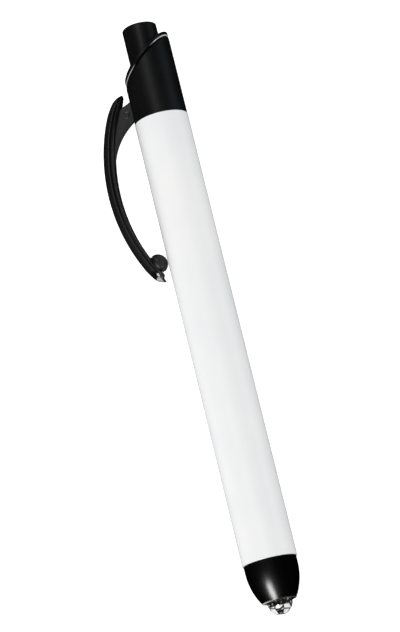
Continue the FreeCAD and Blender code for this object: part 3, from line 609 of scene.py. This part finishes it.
def strap_ring(degrees):
    """The strap's outline at this place on the bow."""
    inside = between(STRAP_INSIDE, degrees)
    outside = between(STRAP_OUTSIDE, degrees)
    half = strap_half_width(degrees)
    near = [(inside + (outside - inside) * depth, side * half) for depth, side in STRAP_SECTION]
    far = [(radius, -side) for radius, side in reversed(near[1:-1])]
    return [bow(radius, degrees, side) for radius, side in near + far]


def sweep(start, pull, end, steps):
    """Points on the curve from start to end that leaves and arrives pointing at pull."""
    points = []
    for step in range(steps + 1):
        ahead = step / steps
        left, middle, right = (1 - ahead) ** 2, 2 * ahead * (1 - ahead), ahead**2
        points.append(
            (
                left * start[0] + middle * pull[0] + right * end[0],
                left * start[1] + middle * pull[1] + right * end[1],
            )
        )
    return points


def clip_web():
    """The web, rooted inside the housing so that it stays joined as the clip flexes."""
    outline = [WEB_HEEL] + sweep(*WEB_UNDERSIDE, WEB_UNDERSIDE_STEPS) + WEB_TOP
    outline = [(out * MM, REAR + y * MM) for out, y in outline]
    return as_object("web", plate(outline, WEB_HALF_THICKNESS * MM, WEB_ROUNDING * MM))


def clip_dome():
    """The dome that presses on the pocket's hem, on its collar."""
    inward = (BOW_CENTRE - bow(42.0, DOME_DEGREES, 0)).normalized()
    angles = [math.radians(6 + 7 * step) for step in range(12)]
    cap = [(DOME_RADIUS * math.cos(turn), DOME_RADIUS * math.sin(turn)) for turn in angles]
    profile = DOME_COLLAR + cap + [(0.06, DOME_RADIUS)]
    profile = [(away * MM, height * MM) for away, height in profile]
    return as_object("dome", turned(profile, bow(DOME_SEAT, DOME_DEGREES, 0), inward, ACROSS))


def ejector_mark():
    """The tool that cuts the ejector's ring into the web's upper face."""
    rings = []
    for step in range(MARK_STEPS):
        turn = math.radians(MARK_FROM + MARK_STEP * step)
        ring = []
        for corner in range(8):
            swing = 2 * math.pi * corner / 8
            away = MARK_RADIUS + MARK_GROOVE * math.cos(swing)
            side = WEB_HALF_THICKNESS + MARK_GROOVE * math.sin(swing)
            out = MARK_OUT + away * math.cos(turn)
            behind = MARK_BEHIND + away * math.sin(turn)
            ring.append(at(out * MM, side * MM, REAR + behind * MM))
        rings.append(ring)
    return as_object("mark", loft(rings))


def pocket_clip():
    """One moulding: bowed strap, web rooted in the housing, collared grip dome, ejector mark."""
    clip = as_object("pocket_clip_moulding", loft([strap_ring(angle) for angle in STRAP_STATIONS]))
    combine(clip, clip_web(), "UNION")
    combine(clip, clip_dome(), "UNION")
    combine(clip, ejector_mark(), "DIFFERENCE")
    clip.data.shade_smooth()
    clip.data.set_sharp_from_angle(angle=math.radians(38))
    clip.data.materials.clear()
    clip.data.materials.append(MATERIALS["clip_black"])
    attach(clip, "clip")
    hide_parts("pocket_clip")


pocket_clip()

# ---------------------------------------------------------------- the return spring

SPRING_TURNS = 6.5
SPRING_STEPS = 24
WIRE_SIDES = 10
SPRING_WIRE = 0.25 * MM


def return_spring():
    """The coil round the button's stem, built at the model spring's length; in the pen it shortens
    as the button goes in.
    """
    low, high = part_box("return_spring")
    coil = (high.z - low.z) / 2 - SPRING_WIRE
    foot = low.y + SPRING_WIRE
    rise = high.y - low.y - 2 * SPRING_WIRE
    count = int(SPRING_TURNS * SPRING_STEPS)
    rings = []
    for step in range(count + 1):
        turn = 2 * math.pi * step / SPRING_STEPS
        spoke = TO_CLIP * math.cos(turn) + ACROSS * math.sin(turn)
        middle = AXIS + spoke * coil + ALONG * (foot + rise * step / count)
        ring = []
        for corner in range(WIRE_SIDES):
            swing = 2 * math.pi * corner / WIRE_SIDES
            offset = spoke * math.cos(swing) + ALONG * math.sin(swing)
            ring.append(middle + offset * SPRING_WIRE)
        rings.append(ring)
    spring = as_object("return_spring_coil", loft(rings), 60)
    spring.data.materials.append(MATERIALS["spring_steel"])
    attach(spring, "barrel")
    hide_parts("return_spring")
    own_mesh(spring)


return_spring()

# ---------------------------------------------------------------- table, light and camera

LIGHT_DISTANCE = 3.0
PALE_BLUE = (0.7, 0.85, 1.0)
TABLE_HALF = 2.5
TABLE_DROP = 0.05 * MM


def light_table():
    """A wide pale sheet lit softly from below, as for catalogue pictures."""
    graph = Graph("table_white")
    shader = graph.shader(Roughness=0.9, Specular_IOR_Level=0.1)
    grain = graph.noise(40, 3.0)
    graph.link(graph.ramp(grain, (0.3, 0.55), (0.7, 0.57)), shader, "Base Color")
    shader.inputs["Emission Color"].default_value = (1.0, 1.0, 1.0, 1.0)
    shader.inputs["Emission Strength"].default_value = 1.0
    mesh = bpy.data.meshes.new("table")
    signs = [(-1, -1), (1, -1), (1, 1), (-1, 1)]
    corners = [(TABLE_HALF * x, TABLE_HALF * y, 0) for x, y in signs]
    mesh.from_pydata(corners, [], [(0, 1, 2, 3)])
    table = bpy.data.objects.new("table", mesh)
    table.location.z = -TABLE_DROP
    mesh.materials.append(graph.material)
    bpy.context.scene.collection.objects.link(table)
    table.visible_glossy = False


def soft_box(name, toward, width, height, power, colour=(1.0, 1.0, 1.0), **roles):
    """A far rectangular light in the direction toward; roles turn off diffuse or glossy light."""
    data = bpy.data.lights.new(name, "AREA")
    data.shape = "RECTANGLE"
    data.size = width
    data.size_y = height
    data.energy = power
    data.color = colour
    light = bpy.data.objects.new(name, data)
    direction = Vector(toward).normalized()
    roll = Matrix.Rotation(math.radians(roles.get("roll", 0)), 3, "Z")
    turn = direction.to_track_quat("Z", "Y").to_matrix() @ roll
    light.matrix_world = Matrix.Translation(direction * LIGHT_DISTANCE) @ turn.to_4x4()
    light.visible_diffuse = roles.get("diffuse", True)
    light.visible_glossy = roles.get("glossy", True)
    bpy.context.scene.collection.objects.link(light)
    return light


def keep_dark(light, *nodes):
    """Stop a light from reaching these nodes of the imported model."""
    group = bpy.data.collections.new(light.name + "_reaches_all_but_these")
    for node in nodes:
        group.objects.link(frame["nodes"][node])
    light.light_linking.receiver_collection = group
    for entry in group.collection_objects:
        entry.light_linking.link_state = "EXCLUDE"


def surroundings(strength):
    """An even pale glow from all round."""
    world = bpy.data.worlds.new("studio")
    bpy.context.scene.world = world
    world.use_nodes = True
    background = world.node_tree.nodes["Background"]
    background.inputs["Color"].default_value = (1.0, 1.0, 1.0, 1.0)
    background.inputs["Strength"].default_value = strength
    world.cycles_visibility.glossy = False


def camera(azimuth, elevation, roll, distance, aim, lens):
    back = Vector(
        (
            math.sin(azimuth) * math.cos(elevation),
            -math.cos(azimuth) * math.cos(elevation),
            math.sin(elevation),
        )
    )
    right = Vector((0, 0, 1)).cross(back).normalized()
    up = back.cross(right)
    turn = Matrix((right, up, back)).transposed() @ Matrix.Rotation(roll, 3, "Z")
    data = bpy.data.cameras.new("camera")
    data.lens = lens
    data.sensor_width = 36.0
    data.clip_start = 0.02
    data.clip_end = 20.0
    view = bpy.data.objects.new("camera", data)
    view.matrix_world = Matrix.Translation(Vector(aim) + back * distance) @ turn.to_4x4()
    bpy.context.scene.collection.objects.link(view)
    bpy.context.scene.camera = view


light_table()
surroundings(0.6)
camera(
    azimuth=math.radians(-30.101),
    elevation=math.radians(73.932),
    roll=math.radians(17.358),
    distance=0.602974,
    aim=(0.002515, -0.000271, 0.0064),
    lens=149.449,
)
soft_box("overhead", (-0.3, -0.1, 1.0), 1.6, 1.6, 32.0, glossy=False)
soft_box("band", (-0.25, 0.6, 0.76), 0.4, 0.4, 13.0)
streak = soft_box("streak", (-0.498, -0.64, 0.585), 1.1, 1.75, 140.0, diffuse=False, roll=55)
keep_dark(streak, "switch_housing", "push_button")
side = soft_box("side", (0.8, 0.1, 0.45), 1.0, 1.0, 2.4, PALE_BLUE)
sheen = soft_box("sheen", (0.9, 0.15, 0.35), 1.2, 1.0, 2.4, PALE_BLUE, diffuse=False)
for light in (side, sheen):
    keep_dark(light, "nose_cone")
bpy.context.scene.view_settings.view_transform = "Standard"

# ---------------------------------------------------------------- update

bpy.context.view_layer.update()
